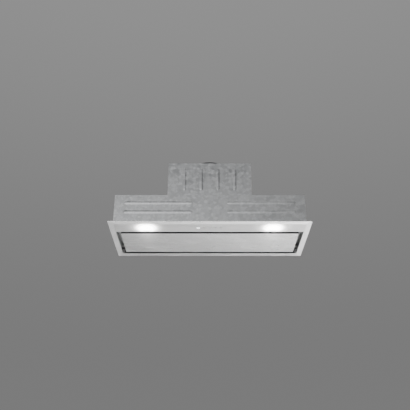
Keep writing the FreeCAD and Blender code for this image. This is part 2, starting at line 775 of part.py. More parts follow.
def control_box():
    wall = dim.control_sheet
    block = box("tray_block", control_left, control_right, -control_deep, control_deep, casing_top, control_top)
    inside = box("tray_inside", control_left + wall, control_right - wall, -control_deep + wall,
                 control_deep - wall, casing_top + wall, control_top + beyond)
    posts = [rod(f"standoff_{number}", dim.standoff_radius, dim.standoff_rise + wall, x, y, casing_top)
             for number, (x, y) in enumerate(
                 [(x, y) for x in (control_left + 2 * board_margin, control_right - 2 * board_margin)
                  for y in (board_front + board_margin, board_rear - board_margin)], start=1)]
    gland_hole = rod("tray_gland_hole", dim.gland_thread + dim.pin_gap, 2 * beyond, gland_x,
                     control_deep - beyond, gland_z, "Y")
    lead_hole = rod("tray_lead_hole", dim.lead_radius + dim.pin_gap, 2 * beyond, control_left - beyond, 0,
                    lead_z, "X")
    shell = cut("tray_shell", block, inside)
    node(cut("control_box_tray", fuse("tray_sheet", shell, *posts), gland_hole, lead_hole))
    gap = dim.fit_gap
    step = wall + gap
    cover = box("lid_block", control_left - step, control_right + step, -control_deep - step,
                control_deep + step, control_top - dim.control_lip, control_top + wall)
    hollow = box("lid_inside", control_left - gap, control_right + gap, -control_deep - gap,
                 control_deep + gap, control_top - dim.control_lip - beyond, control_top)
    node(cut("control_box_lid", cover, hollow))
    node(box("control_board", control_left + board_margin, control_right - board_margin, board_front, board_rear,
             board_low, board_low + dim.circuit_board))
    floor = casing_top + wall
    driver_left = control_left + 2 * board_margin
    driver_front = -control_deep + board_margin
    node(rounded_block("led_driver", driver_left, driver_left + dim.driver_length, driver_front,
                       driver_front + dim.driver_depth, floor, floor + dim.driver_height, 2 * wall))
    block_right = control_right - 2 * board_margin
    block_top = board_low + dim.circuit_board + dim.terminal_height
    block_rear = board_rear - 2 * dim.standoff_radius
    node(box("terminal_block", block_right - dim.terminal_length, block_right, block_rear - dim.terminal_depth,
             block_rear, board_low + dim.circuit_board, block_top))
    neck = dim.gland_thread
    collar_end = dim.gland_length * 0.4
    node(turned("mains_gland", [
        (dim.gland_bore, -4 * wall), (neck, -4 * wall), (neck, 0), (dim.gland_radius, 0),
        (dim.gland_radius, collar_end), (neck + wall, collar_end + wall), (neck, dim.gland_length),
        (dim.gland_bore, dim.gland_length)], gland_x, control_deep, gland_z, "Y"))
    lead_start = fan_half - 4 * wall
    node(rod("motor_lead", dim.lead_radius, control_left + 4 * wall - lead_start, lead_start, 0, lead_z, "X"))


# Control fascia: a folded strip along the front with holes for two lamps and five keys.

control_y = open_front + dim.control_line
lamp_x = dim.lamp_spacing / 2
KEYS = ("key_power", "key_low", "key_middle", "key_high", "key_light")
key_places = [(step * dim.key_pitch, label) for step, label in zip((-2, -1, 0, 1, 2), KEYS)]


def control_fascia():
    half = open_half - dim.fit_gap
    front = open_front + dim.fit_gap
    folds = [box("fascia_face", -half, half, front, fascia_rear, face_low, face_top),
             box("fascia_front_fold", -half, half, front, front + dim.trim_sheet, face_low,
                 face_low + dim.fascia_front_rise),
             box("fascia_rear_fold", -half, half, fascia_rear - dim.trim_sheet, fascia_rear, face_low,
                 face_low + dim.fascia_rear_rise)]
    holes = [rod(f"fascia_lamp_hole_{side}", dim.lamp_neck + dim.fit_gap, 2 * beyond, side * lamp_x, control_y,
                 face_low - beyond) for side in (-1, 1)]
    holes += [rod(label + "_hole", dim.key_radius + dim.fit_gap, 2 * beyond, x, control_y, face_low - beyond)
              for x, label in key_places]
    node(cut("control_fascia", fuse("fascia_strip", *folds), *holes))


# Lamps: a bezel from below, a frosted lens in it, and the lamp body with its board above.

def lamp(label, side):
    at = (side * lamp_x, control_y, face_low)
    neck = dim.lamp_neck
    throat = neck - dim.lamp_wall
    edge = dim.lamp_rim_drop / 2
    node(turned(label + "_bezel", [
        (throat, -dim.lamp_rim_drop), (dim.lamp_rim - edge, -dim.lamp_rim_drop), (dim.lamp_rim, -edge),
        (dim.lamp_rim, 0), (neck, 0), (neck, dim.lamp_neck_rise), (throat, dim.lamp_neck_rise)], *at))
    lens = throat - dim.fit_gap
    lens_top = dim.lens_thick - dim.lens_drop
    node(turned(label + "_lens", [(0, -dim.lens_drop), (lens - 2 * edge, -dim.lens_drop),
                                  (lens, edge - dim.lens_drop), (lens, lens_top), (0, lens_top)], *at))
    low = lens_top + dim.fit_gap
    cup_wall = 1.5 * dim.lamp_wall
    ceiling = dim.lamp_depth - 2 * dim.lamp_wall
    node(turned(label + "_body", [(lens - cup_wall, low), (lens, low), (lens, dim.lamp_depth), (0, dim.lamp_depth),
                                  (0, ceiling), (lens - cup_wall, ceiling)], *at))
    board = lens - cup_wall - dim.fit_gap
    node(turned(label + "_led_board", [(0, ceiling - dim.led_board_thick), (board, ceiling - dim.led_board_thick),
                                       (board, ceiling), (0, ceiling)], *at))


def lamp_clips():
    """Spring wedges above the fascia, two on each lamp neck."""
    clips = []
    near = dim.lamp_neck + dim.pin_gap
    far = dim.lamp_rim + 2 * dim.lamp_wall
    for side in (-1, 1):
        for inner, outer in ((-far, -near), (near, far)):
            clips.append(box(f"lamp_clip_{len(clips) + 1}", side * lamp_x + inner, side * lamp_x + outer,
                             control_y - dim.clip_width / 2, control_y + dim.clip_width / 2, face_top,
                             face_top + 3 * dim.trim_sheet))
    node(group("lamp_clips", *clips))


# Keys: round caps through the fascia, with a carrier and a switch board above them.

def keys():
    seat = dim.trim_sheet + dim.pin_gap
    flange_top = seat + dim.key_flange_thick
    stem_top = flange_top + dim.key_stem_rise
    edge = dim.key_proud / 2
    for x, label in key_places:
        node(turned(label, [
            (0, -dim.key_proud), (dim.key_radius - edge, -dim.key_proud), (dim.key_radius, -edge),
            (dim.key_radius, seat), (dim.key_flange, seat), (dim.key_flange, flange_top),
            (dim.key_stem, flange_top), (dim.key_stem, stem_top), (0, stem_top)], x, control_y, face_low))
    half = dim.carrier_length / 2
    deep = dim.carrier_depth / 2
    wall = dim.carrier_wall
    floor = face_top + dim.carrier_floor
    block = box("carrier_block", -half, half, control_y - deep, control_y + deep, face_top,
                face_top + dim.carrier_height)
    pocket = box("carrier_pocket", -half + wall, half - wall, control_y - deep + wall, control_y + deep - wall,
                 floor, face_top + dim.carrier_height + beyond)
    room = dim.pin_gap + dim.key_flange_thick + 2 * dim.key_travel
    bores = []
    for x, label in key_places:
        bores.append(rod(label + "_flange_bore", dim.key_flange + dim.fit_gap, room + beyond, x, control_y,
                         face_top - beyond))
        bores.append(rod(label + "_stem_bore", dim.key_stem + dim.fit_gap, dim.carrier_floor + 2 * beyond, x,
                         control_y, face_top - beyond))
    node(cut("keypad_carrier", block, pocket, *bores))
    half = half - wall - dim.fit_gap
    deep = deep - wall - dim.fit_gap
    node(box("keypad_board", -half, half, control_y - deep, control_y + deep, floor, floor + dim.circuit_board))


# Suction panel: a folded tray closed by a back plate, swinging down about two pins at its rear.

panel_top = face_low + dim.panel_height
hinge_y = panel_rear - dim.hinge_inset
hinge_z = face_low + dim.hinge_rise
block_inner = panel_half + dim.hinge_side_gap
lug_outer = panel_half - dim.trim_sheet - dim.fit_gap
pin_end = block_inner + dim.hinge_pin_reach


def hinge_bore(label, reach):
    return rod(label, dim.hinge_pin + dim.pin_gap, 2 * reach, -reach, hinge_y, hinge_z, "X")


def suction_panel():
    sheet_in = dim.trim_sheet
    tray = rounded_block("panel_tray", -panel_half, panel_half, panel_front, panel_rear, face_low, panel_top,
                         dim.panel_corner, foot=dim.panel_fold)
    inside = box("panel_inside", -panel_half + sheet_in, panel_half - sheet_in, panel_front + sheet_in,
                 panel_rear - sheet_in, face_top, panel_top + beyond)
    node(cut("suction_panel_skin", tray, inside, hinge_bore("panel_skin_bore", panel_half + beyond)))
    gap = sheet_in + dim.fit_gap
    plate_top = panel_top - dim.pin_gap
    plate_low = plate_top - dim.panel_back_sheet
    plate = box("panel_back_plate", -lug_outer, lug_outer, panel_front + gap, panel_rear - gap, plate_low,
                plate_top)
    half = dim.hinge_lug_depth / 2
    lugs = [box(f"panel_lug_{side}", min(side, 0) * lug_outer + max(side, 0) * (lug_outer - dim.hinge_lug),
                max(side, 0) * lug_outer + min(side, 0) * (lug_outer - dim.hinge_lug), hinge_y - half,
                hinge_y + half, face_top + dim.fit_gap, plate_top) for side in (-1, 1)]
    node(cut("suction_panel_back", fuse("panel_back_sheet_metal", plate, *lugs),
             hinge_bore("panel_back_bore", panel_half + beyond)))
    start = lug_outer - dim.hinge_lug + dim.trim_sheet
    right = rod("hinge_pin_right", dim.hinge_pin, pin_end - start, start, hinge_y, hinge_z, "X")
    node(group("panel_hinge_pins", right, mirrored("hinge_pin_left", right)))


def hinge_brackets():
    half = dim.hinge_block_depth / 2
    low = face_low + dim.hinge_block_recess
    block = rounded_block("hinge_block", block_inner, open_half, hinge_y - half, hinge_y + half, low,
                          low + dim.hinge_block_height, dim.hinge_block_corner)
    right = cut("hinge_block_right", block, hinge_bore("hinge_block_bore", pin_end + dim.fit_gap))
    node(group("hinge_brackets", right, mirrored("hinge_block_left", right)))


# Grease filters: two cassettes on a front rail and a rear ledge, each held by a sliding latch.

filter_low = dim.filter_height
filter_front = fascia_rear + dim.filter_front_gap
filter_rear = casing_rear - 2 * dim.filter_gap
filter_right = casing_half - dim.filter_gap
filter_middle = (filter_right + dim.filter_gap) / 2
latch_top = filter_low - dim.fit_gap
latch_low = latch_top - dim.latch_plate
lip_top = latch_low - dim.fit_gap
lip_low = lip_top - dim.rail_sheet
web_front = fascia_rear + dim.fit_gap
web_rear = web_front + dim.rail_sheet
rail_half = casing_half - dim.pin_gap


def filter_rails():
    web = box("rail_web", -rail_half, rail_half, web_front, web_rear, dim.trim_return + beyond, dim.rail_rise)
    lip = box("rail_lip_strip", -rail_half, rail_half, web_front, web_rear + dim.rail_lip, lip_low, lip_top)
    node(fuse("filter_rail", web, lip))
    ledge_top = filter_low - dim.fit_gap
    shelf = box("ledge_shelf", -rail_half, rail_half, filter_rear - dim.filter_rim, casing_rear,
                ledge_top - dim.rail_sheet, ledge_top)
    strip = box("ledge_strip", -rail_half, rail_half, casing_rear - dim.rail_sheet, casing_rear,
                ledge_top - dim.rail_sheet, ledge_top + dim.filter_thick)
    node(fuse("filter_ledge", shelf, strip))


def filter_cassette():
    rim = dim.filter_rim
    block = box("filter_block", dim.filter_gap, filter_right, filter_front, filter_rear, filter_low,
                filter_low + dim.filter_thick)
    window = box("filter_window", dim.filter_gap + rim, filter_right - rim, filter_front + rim, filter_rear - rim,
                 filter_low - beyond, filter_low + dim.filter_thick + beyond)
    guides = []
    guide_front = web_rear + dim.rail_lip + dim.fit_gap
    guide_rear = guide_front + rim
    for side in (-1, 1):
        near = filter_middle + side * (dim.latch_half + dim.fit_gap)
        lip = filter_middle + side * (dim.latch_half - dim.guide_lip)
        outer = near + side * dim.guide_wall
        guides.append(box(f"guide_wall_{side}", *((outer, near) if side < 0 else (near, outer)), guide_front,
                          guide_rear, lip_low, filter_low))
        guides.append(box(f"guide_lip_{side}", *((outer, lip) if side < 0 else (lip, outer)), guide_front,
                          guide_rear, lip_low, lip_top))
    right = fuse("filter_right_frame", cut("filter_rim_frame", block, window), *guides)
    node(right)
    node(mirrored("filter_left_frame", right))
    inset = rim + dim.fit_gap
    mesh = box("filter_right_mesh", dim.filter_gap + inset, filter_right - inset, filter_front + inset,
               filter_rear - inset, filter_low + dim.trim_sheet, filter_low + dim.filter_thick - dim.trim_sheet)
    node(mesh)
    node(mirrored("filter_left_mesh", mesh))


def filter_latches():
    front = web_rear + dim.fit_gap
    rear = front + dim.latch_depth
    plate = box("latch_slide", filter_middle - dim.latch_half, filter_middle + dim.latch_half, front, rear,
                latch_low, latch_top)
    tab = box("latch_tab", filter_middle - dim.latch_tab_half, filter_middle + dim.latch_tab_half,
              rear - dim.latch_tab_thick, rear, latch_low - dim.latch_tab_drop, latch_top)
    right = fuse("filter_latch_right", plate, tab)
    node(right)
    node(mirrored("filter_latch_left", right))


def panel_magnets():
    middle = dim.magnet_spacing / 2
    near = middle - dim.magnet_half
    far = middle + dim.magnet_half
    block_front = panel_front + 2 * dim.trim_sheet
    block_rear = block_front + dim.magnet_depth
    arm = box("magnet_arm_strip", near, far, web_rear, block_rear, lip_low - dim.magnet_arm, lip_low)
    block = box("magnet_block", near, far, block_front, block_rear, panel_top + dim.fit_gap, lip_low)
    right = fuse("magnet_right", arm, block)
    node(group("panel_magnets", right, mirrored("magnet_left", right)))


def housing_screws():
    places = end_screw_places() + fan_screw_places() + collar_screw_places()
    node(group("housing_screws", *[screw(f"housing_screw_{number}", *spot)
                                   for number, spot in enumerate(places, start=1)]))


trim_frame()
mounting_frame()
casing()
fan_box()
scroll()
impeller()
motor()
outlet_collar()
damper_flap("damper_flap_front", -1)
damper_flap("damper_flap_rear", 1)
control_box()
control_fascia()
lamp("lamp_left", -1)
lamp("lamp_right", 1)
lamp_clips()
keys()
suction_panel()
hinge_brackets()
filter_rails()
filter_cassette()
filter_latches()
panel_magnets()
housing_screws()
doc.recompute()

for thing in doc.Objects:
    faults = [state for state in thing.State if state in ("Invalid", "Error")]
    if faults:
        raise RuntimeError(f"{thing.Label} did not build: {thing.State}")
for label, thing in nodes.items():
    if thing.Shape.isNull() or not thing.Shape.isValid() or thing.Shape.Volume <= 0:
        raise RuntimeError(f"{label} has no valid solid")

os.makedirs("parts", exist_ok=True)
for label, thing in nodes.items():
    thing.Shape.exportStep(f"parts/{label}.step")
print(len(nodes), "sub-parts written")
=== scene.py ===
import json
import math

import bmesh
import bpy
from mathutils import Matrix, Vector


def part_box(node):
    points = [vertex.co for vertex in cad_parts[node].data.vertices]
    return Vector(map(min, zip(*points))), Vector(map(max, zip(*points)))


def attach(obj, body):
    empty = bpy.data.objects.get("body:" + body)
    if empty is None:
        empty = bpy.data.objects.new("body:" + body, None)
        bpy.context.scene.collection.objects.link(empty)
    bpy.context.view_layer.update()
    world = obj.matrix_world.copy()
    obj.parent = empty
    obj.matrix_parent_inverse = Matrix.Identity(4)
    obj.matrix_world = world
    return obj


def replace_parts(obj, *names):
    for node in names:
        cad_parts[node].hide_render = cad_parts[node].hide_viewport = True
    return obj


# Built-in range hood seen from below and in front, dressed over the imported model.
# Metres throughout; what is modelled here rides on the bodies of the model.

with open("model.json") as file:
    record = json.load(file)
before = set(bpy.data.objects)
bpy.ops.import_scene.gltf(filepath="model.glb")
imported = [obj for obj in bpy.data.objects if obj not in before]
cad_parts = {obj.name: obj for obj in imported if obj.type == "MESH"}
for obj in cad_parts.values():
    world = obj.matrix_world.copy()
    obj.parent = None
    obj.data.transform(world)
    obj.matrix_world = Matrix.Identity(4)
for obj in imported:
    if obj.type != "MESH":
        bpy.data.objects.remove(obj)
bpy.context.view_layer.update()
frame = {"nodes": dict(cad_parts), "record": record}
nodes = frame["nodes"]
MM = 0.001


# Shader maths as Python expressions.

class Value:
    """A shader socket that can be used in sums and products."""

    def __init__(self, finish, socket):
        self.finish = finish
        self.socket = socket

    def __add__(self, other):
        return self.finish.maths("ADD", self, other)

    def __radd__(self, other):
        return self.finish.maths("ADD", other, self)

    def __sub__(self, other):
        return self.finish.maths("SUBTRACT", self, other)

    def __rsub__(self, other):
        return self.finish.maths("SUBTRACT", other, self)

    def __mul__(self, other):
        return self.finish.maths("MULTIPLY", self, other)

    def __rmul__(self, other):
        return self.finish.maths("MULTIPLY", other, self)

    def __truediv__(self, other):
        return self.finish.maths("DIVIDE", self, other)

    def __abs__(self):
        return self.finish.maths("ABSOLUTE", self)

    def __lt__(self, other):
        return self.finish.maths("LESS_THAN", self, other)

    def __gt__(self, other):
        return self.finish.maths("GREATER_THAN", self, other)


class Shading:
    """A node tree that is filled by expressions."""

    def __init__(self, tree):
        self.tree = tree
        self.coordinates = None

    def node(self, kind, settings=None, inputs=None, output=0):
        """Any node: its settings first, then the values or links of its sockets."""
        made = self.tree.nodes.new(kind)
        for name, setting in (settings or {}).items():
            setattr(made, name, setting)
        for name, feed in (inputs or {}).items():
            self.feed(made.inputs[name], feed)
        return Value(self, made.outputs[output])

    def feed(self, socket, feed):
        if isinstance(feed, Value):
            self.tree.links.new(feed.socket, socket)
        else:
            socket.default_value = feed

    def maths(self, operation, *feeds):
        return self.node("ShaderNodeMath", {"operation": operation}, dict(enumerate(feeds)))

    def smooth(self, value, low, high):
        """0 below low, 1 above high and an even curve between."""
        return self.node("ShaderNodeMapRange", {"interpolation_type": "SMOOTHSTEP"},
                         {"Value": value, "From Min": low, "From Max": high})

    def mix(self, share, first, second):
        """Colour between first and second."""
        return self.node("ShaderNodeMix", {"data_type": "RGBA"},
                         {0: share, 6: first, 7: second}, output=2)

    def place(self):
        """Position in the frame of the model."""
        if self.coordinates is None:
            self.coordinates = self.node("ShaderNodeTexCoord", output=3)
        return self.coordinates

    def axis(self, number):
        return self.node("ShaderNodeSeparateXYZ", None, {0: self.place()}, output=number)

    def axes(self):
        return [self.axis(number) for number in range(3)]

    def plan(self):
        """Position seen from above: along X and along Y."""
        return [self.axis(number) for number in range(2)]

    def height(self):
        return self.axis(2)

    def stretched(self, scale, shift=(0, 0, 0)):
        """Position stretched by a scale along each axis, and shifted."""
        return self.node("ShaderNodeMapping", None,
                         {"Vector": self.place(), "Scale": scale, "Location": shift})

    def noise(self, place, scale, detail=3.0, roughness=0.55):
        return self.node("ShaderNodeTexNoise", None,
                         {"Vector": place, "Scale": scale, "Detail": detail, "Roughness": roughness})

    def bump(self, height, strength, distance):
        return self.node("ShaderNodeBump", None,
                         {"Height": height, "Strength": strength, "Distance": distance})


class Finish(Shading):
    """One material: its nodes feed the surface shader."""

    def __init__(self, name):
        self.material = bpy.data.materials.new(name)
        self.material.use_nodes = True
        super().__init__(self.material.node_tree)
        self.shader = self.tree.nodes["Principled BSDF"]

    def surface(self, **feeds):
        """Feeds the shader: words name its sockets, with _ for a space."""
        for name, feed in feeds.items():
            self.feed(self.shader.inputs[name.replace("_", " ").title().replace("Ior", "IOR")], feed)
        return self.material


def grey(level, warm=0.0):
    """A near-neutral colour: warm above 0, cool below."""
    return (level * (1 + warm), level, level * (1 - warm), 1.0)


def dress(material, *names):
    """Gives CAD nodes their finish."""
    for name in names:
        slots = nodes[name].data.materials
        slots.clear()
        slots.append(material)


# Sizes read from the model.

trim_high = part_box("trim_frame")[1]
panel_low, panel_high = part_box("suction_panel_skin")
fascia_low, fascia_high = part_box("control_fascia")
bezel_low, bezel_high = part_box("lamp_right_bezel")
lens_low, lens_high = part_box("lamp_right_lens")
half_width = trim_high.x
half_depth = trim_high.y
lamp_middle = (lens_low + lens_high) / 2
lens_radius = (lens_high.x - lens_low.x) / 2
bezel_radius = (bezel_high.x - bezel_low.x) / 2
cartridge_low, cartridge_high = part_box("filter_right_mesh")
cartridge_middle = (cartridge_low.z + cartridge_high.z) / 2
block_low, block_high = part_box("hinge_brackets")
block_middle = (block_low.z + block_high.z) / 2


# Finishes.

# Glow strengths: the lens and the lit key are lamps; the rim, halo, border and spill glows are painted lamp
# light on the parts round the lamps.
LENS_GLOW = 14.0
RIM_GLOW = 7.0
HALO_GLOW = 9.0
BORDER_GLOW = 3.1
RING_SHARE = 0.67
RING_FADE = 4.6 * MM
VEIL_FADE = 10.0 * MM
SPILL_GLOW = 0.5
SPILL_FADE = 46.0 * MM
SPILL_WIDTH = 30.0 * MM
KEY_GLOW = 4.0
CLEAN_DEPTH = 1.6 * MM
COLOUR_CHANGE = 1.0 * MM
LAMP_LIGHT = (1.0, 0.985, 0.955, 1.0)
WORN_STEEL = grey(0.86)
# Painted shade: near-black laid on the steel folds and edges inside the slots, where shade falls.
UNPOLISHED_STEEL = grey(0.045)
PICKLED_STEEL = grey(0.38)
# Painted light: a pale grey that lifts the shaded upper part of the hinge block.
UNDYED_PLASTIC = grey(0.60, 0.02)
GREASE = grey(0.08, 0.03)
RUST = (0.16, 0.10, 0.07, 1.0)


def brush_lines(finish, along, fine=1500.0):
    """Height of brushing: long fine lines that run along X or along Y."""
    lengthwise = 7.0
    scale = (lengthwise, fine, fine) if along == "X" else (fine, lengthwise, fine)
    coarse = tuple(size if size == lengthwise else size / 4 for size in scale)
    lines = finish.noise(finish.stretched(scale), 1.0, detail=2.0)
    bands = finish.noise(finish.stretched(coarse, (3.1, 1.7, 0.4)), 1.0, detail=2.0)
    return lines * 0.6 + bands * 0.4


def smudges(finish, scale=14.0):
    """Slow patches where the sheet has been wiped or touched."""
    patches = finish.noise(finish.stretched((1, 1.6, 1)), scale, detail=4.0)
    return finish.smooth(patches, 0.42, 0.68)


def from_lamp(finish, x, y):
    """Distance from the middle of the nearer lamp, in plan."""
    across = abs(x) - lamp_middle.x
    along = y - lamp_middle.y
    return finish.maths("SQRT", across * across + along * along)


def lamp_halo(finish, x, y):
    """Share of painted lamp light on the sheet round a lamp: a close bright ring and a wide faint veil."""
    away = finish.maths("MINIMUM", bezel_radius - from_lamp(finish, x, y), 0.0)
    ring = finish.maths("EXPONENT", away / RING_FADE)
    veil = finish.maths("EXPONENT", away / VEIL_FADE)
    return ring * RING_SHARE + veil * (1 - RING_SHARE)


def lamp_spill(finish, x, y):
    """Share of the painted light from a lamp over the front of the suction panel."""
    across = (abs(x) - lamp_middle.x) / SPILL_WIDTH
    behind = (panel_low.y - y) / SPILL_FADE
    return finish.maths("EXPONENT", behind - across * across)


def lit(finish, share):
    """Colour of painted lamp light, dimmed by a share that varies over the surface."""
    return finish.mix(share, grey(0.0), LAMP_LIGHT)


def brushed_sheet(finish, lines, dark, light, gloss, worn, dulled, raw=None, **more):
    """Satin stainless sheet from a height of brushing: worn is a mask of brighter edges, the next mask is
    of the folds inside the slots, which are painted near-black as painted shade, and raw of walls with a
    pickled skin."""
    tone = finish.smooth(lines, 0.25, 0.75)
    touched = smudges(finish)
    colour = finish.mix(tone, dark, light)
    colour = finish.mix(worn, colour, WORN_STEEL)
    colour = finish.mix(dulled, colour, UNPOLISHED_STEEL)
    roughness = gloss + 0.14 * tone + 0.07 * touched - 0.08 * worn + 0.15 * dulled
    metallic = 1.0
    if raw is not None:
        colour = finish.mix(raw, colour, PICKLED_STEEL)
        roughness = roughness + 0.35 * raw
        metallic = 1 - 0.8 * raw
    return finish.surface(base_color=colour, metallic=metallic, roughness=roughness,
                          normal=finish.bump(lines, 0.12, 0.0002), **more)


def trim_steel():
    """Brushed along each side of the border, with mitred corners and a worn outer edge."""
    finish = Finish("brushed stainless border")
    x, y, z = finish.axes()
    from_end = half_width - abs(x)
    from_front = half_depth - abs(y)
    sides = from_end < from_front
    lines = brush_lines(finish, "X")
    lines = lines + sides * (brush_lines(finish, "Y") - lines)
    rim = finish.maths("MINIMUM", from_end, from_front)
    worn = 1 - finish.smooth(rim, 0.0, 1.6 * MM)
    # The inner walls of the opening: at the front and rear they get painted shade, at the sides a pickled
    # skin.
    inner = finish.smooth(z, -1.2 * MM, 1.2 * MM) * (rim > 10 * MM)
    # Painted light: a glow round each lamp on the lower face of the border.
    halo = lamp_halo(finish, x, y) * (z < 0.0)
    return brushed_sheet(finish, lines, grey(0.60, 0.004), grey(0.715, 0.004), 0.22 + 0.08 * sides, worn,
                         inner * (1 - sides), inner * sides,
                         emission_color=lit(finish, halo), emission_strength=BORDER_GLOW)


def fascia_steel():
    finish = Finish("brushed stainless fascia")
    x, y, z = finish.axes()
    # Painted shade: the fold up into the slot and the rear edge by the slot are painted near-black.
    folded = finish.smooth(z, fascia_low.z + 0.9 * MM, fascia_low.z + 1.8 * MM)
    edge = finish.smooth(y, fascia_high.y - 1.6 * MM, fascia_high.y - 0.6 * MM)
    dulled = finish.maths("MAXIMUM", folded, edge)
    worn = 0.2 * finish.smooth(y, fascia_high.y - 4.0 * MM, fascia_high.y - 2.0 * MM)
    # Painted light: a glow round each lamp, kept off the fold and the edge by the slot.
    at_slot = finish.smooth(y, fascia_high.y - 9.0 * MM, fascia_high.y)
    halo = lamp_halo(finish, x, y) * (1 - folded) * (1 - at_slot)
    return brushed_sheet(finish, brush_lines(finish, "X"), grey(0.455, 0.004), grey(0.56, 0.004), 0.33,
                         worn, dulled, emission_color=lit(finish, halo), emission_strength=HALO_GLOW)


def panel_steel():
    """The suction panel's skin, worn bright along its folded edges."""
    finish = Finish("brushed stainless panel")
    x, y, z = finish.axes()
    middle = (panel_low + panel_high) / 2
    from_end = (panel_high.x - middle.x) - abs(x - middle.x)
    from_edge = (panel_high.y - middle.y) - abs(y - middle.y)
    rim = finish.maths("MINIMUM", from_end, from_edge)
    # Painted shade: the panel's folds are painted dark, less so at its ends.
    folded = finish.smooth(z, panel_low.z + 0.1 * MM, panel_low.z + 0.5 * MM)
    dulled = folded * (1 - 0.6 * (from_end < from_edge))
    worn = 0.2 - 0.2 * finish.smooth(rim, 0.8 * MM, 2.6 * MM)
    # Painted light: a glow from each lamp over the front of the panel, kept off its folds.
    spill = lamp_spill(finish, x, y) * (1 - folded)
    return brushed_sheet(finish, brush_lines(finish, "X"), grey(0.54, 0.004), grey(0.66, 0.004), 0.16, worn,
                         dulled, emission_color=lit(finish, spill), emission_strength=SPILL_GLOW)


def galvanised_steel():
    """Zinc-coated sheet: leafy spangle in patches of differing brightness, with a faint wandering tone."""
    finish = Finish("galvanised sheet")
    wander = finish.noise(finish.place(), 60.0, detail=2.0)
    cells = finish.node("ShaderNodeTexVoronoi", {"feature": "F1"},
                        {"Vector": finish.place(), "Scale": 95.0}, output=1)
    leaf = finish.node("ShaderNodeSeparateColor", None, {0: cells})
    ridge = finish.node("ShaderNodeTexVoronoi", {"feature": "DISTANCE_TO_EDGE"},
                        {"Vector": finish.place(), "Scale": 95.0})
    seam = 1 - finish.smooth(ridge, 0.0, 0.10)
    stain = smudges(finish, 5.0)
    tone = leaf * 0.75 + wander * 0.25
    colour = finish.mix(tone, grey(0.42, -0.02), grey(0.66, -0.015))
    colour = finish.mix(seam * 0.35, colour, grey(0.40, -0.02))
    colour = finish.mix(stain * 0.18, colour, grey(0.50, 0.01))
    roughness = 0.34 + 0.16 * leaf + 0.10 * stain
    height = leaf * 0.5 + seam * 0.3 + wander * 0.2
    return finish.surface(base_color=colour, metallic=1.0, roughness=roughness,
                          normal=finish.bump(height, 0.10, 0.0003))


def moulded_plastic(name, dark, light, gloss, shine=0.5, natural=None):
    """Moulded plastic with a fine spark-eroded grain and faint flow patches. Where two heights are given,
    it changes between them to a pale grey above, which is painted light that lifts a shaded part."""
    finish = Finish(name)
    grit = finish.noise(finish.place(), 2600.0, detail=2.0)
    flow = finish.noise(finish.place(), 30.0, detail=3.0)
    colour = finish.mix(0.6 * flow + 0.4 * grit, dark, light)
    if natural is not None:
        colour = finish.mix(finish.smooth(finish.height(), *natural), colour, UNDYED_PLASTIC)
    roughness = gloss + 0.12 * grit + 0.08 * flow
    return finish.surface(base_color=colour, roughness=roughness, specular_ior_level=shine,
                          normal=finish.bump(grit, 0.25, 0.0002))


def ground_steel(name, level, gloss):
    """Turned or ground steel: close rings of tool marks and a little dulling."""
    finish = Finish(name)
    marks = finish.noise(finish.stretched((2400, 240, 2400)), 1.0, detail=2.0)
    dull = smudges(finish, 120.0)
    colour = finish.mix(0.5 * marks + 0.3 * dull, grey(level * 1.12), grey(level * 0.82))
    return finish.surface(base_color=colour, metallic=1.0, roughness=gloss + 0.10 * marks + 0.10 * dull,
                          normal=finish.bump(marks, 0.12, 0.0001))


def rolled_aluminium(name, dark, light, shine=0.75, gloss=0.42, greasy=None):
    """Bare aluminium with rolling lines and a chalky oxide bloom. Where two heights are given, it darkens
    between them and stays dark above."""
    finish = Finish(name)
    lines = brush_lines(finish, "X", 900.0)
    bloom = smudges(finish, 40.0)
    colour = finish.mix(0.7 * lines + 0.3 * bloom, dark, light)
    if greasy is not None:
        colour = finish.mix(finish.smooth(finish.height(), *greasy), colour, GREASE)
    return finish.surface(base_color=colour, metallic=shine - 0.25 * bloom,
                          roughness=gloss + 0.12 * lines + 0.16 * bloom,
                          normal=finish.bump(lines, 0.12, 0.0002))


def laminated_core():
    """Stacked iron sheets: thin lines across the axis of the motor."""
    finish = Finish("laminated iron core")
    leaves = finish.node("ShaderNodeTexWave", {"wave_type": "BANDS", "bands_direction": "X"},
                         {"Vector": finish.place(), "Scale": 320.0, "Distortion": 0.4, "Detail": 1.0},
                         output=1)
    rust = smudges(finish, 90.0)
    colour = finish.mix(leaves, grey(0.14), grey(0.30))
    colour = finish.mix(rust * 0.25, colour, RUST)
    return finish.surface(base_color=colour, metallic=0.8, roughness=0.45 + 0.2 * rust,
                          normal=finish.bump(leaves, 0.3, 0.0003))


def satin_paint():
    finish = Finish("satin motor paint")
    peel = finish.noise(finish.place(), 500.0, detail=2.0)
    dust = smudges(finish, 60.0)
    colour = finish.mix(dust * 0.4, grey(0.055), grey(0.12, 0.02))
    return finish.surface(base_color=colour, roughness=0.38 + 0.18 * dust, coat_weight=0.15,
                          normal=finish.bump(peel, 0.15, 0.0002))


def solder_mask(name, mask_dark, mask_light, copper):
    """Printed board: mask over tracks, with rows of tinned pads."""
    finish = Finish(name)
    tracks = finish.node("ShaderNodeTexBrick", {"offset": 0.5, "squash": 1.0},
                         {"Vector": finish.stretched((1, 1, 1)), "Color1": grey(0.0), "Color2": grey(0.0),
                          "Mortar": grey(1.0), "Scale": 120.0, "Mortar Size": 0.06, "Mortar Smooth": 0.2},
                         output=1)
    dots = finish.node("ShaderNodeTexVoronoi", {"feature": "F1"},
                       {"Vector": finish.place(), "Scale": 190.0, "Randomness": 0.15})
    pads = 1 - finish.smooth(dots, 0.20, 0.26)
    weave = finish.noise(finish.place(), 1500.0, detail=1.0)
    colour = finish.mix(tracks * 0.8, mask_dark, mask_light)
    colour = finish.mix(pads, colour, copper)
    return finish.surface(base_color=colour, metallic=pads * 0.9, roughness=0.30 + 0.10 * weave,
                          normal=finish.bump(tracks + pads, 0.3, 0.00006))


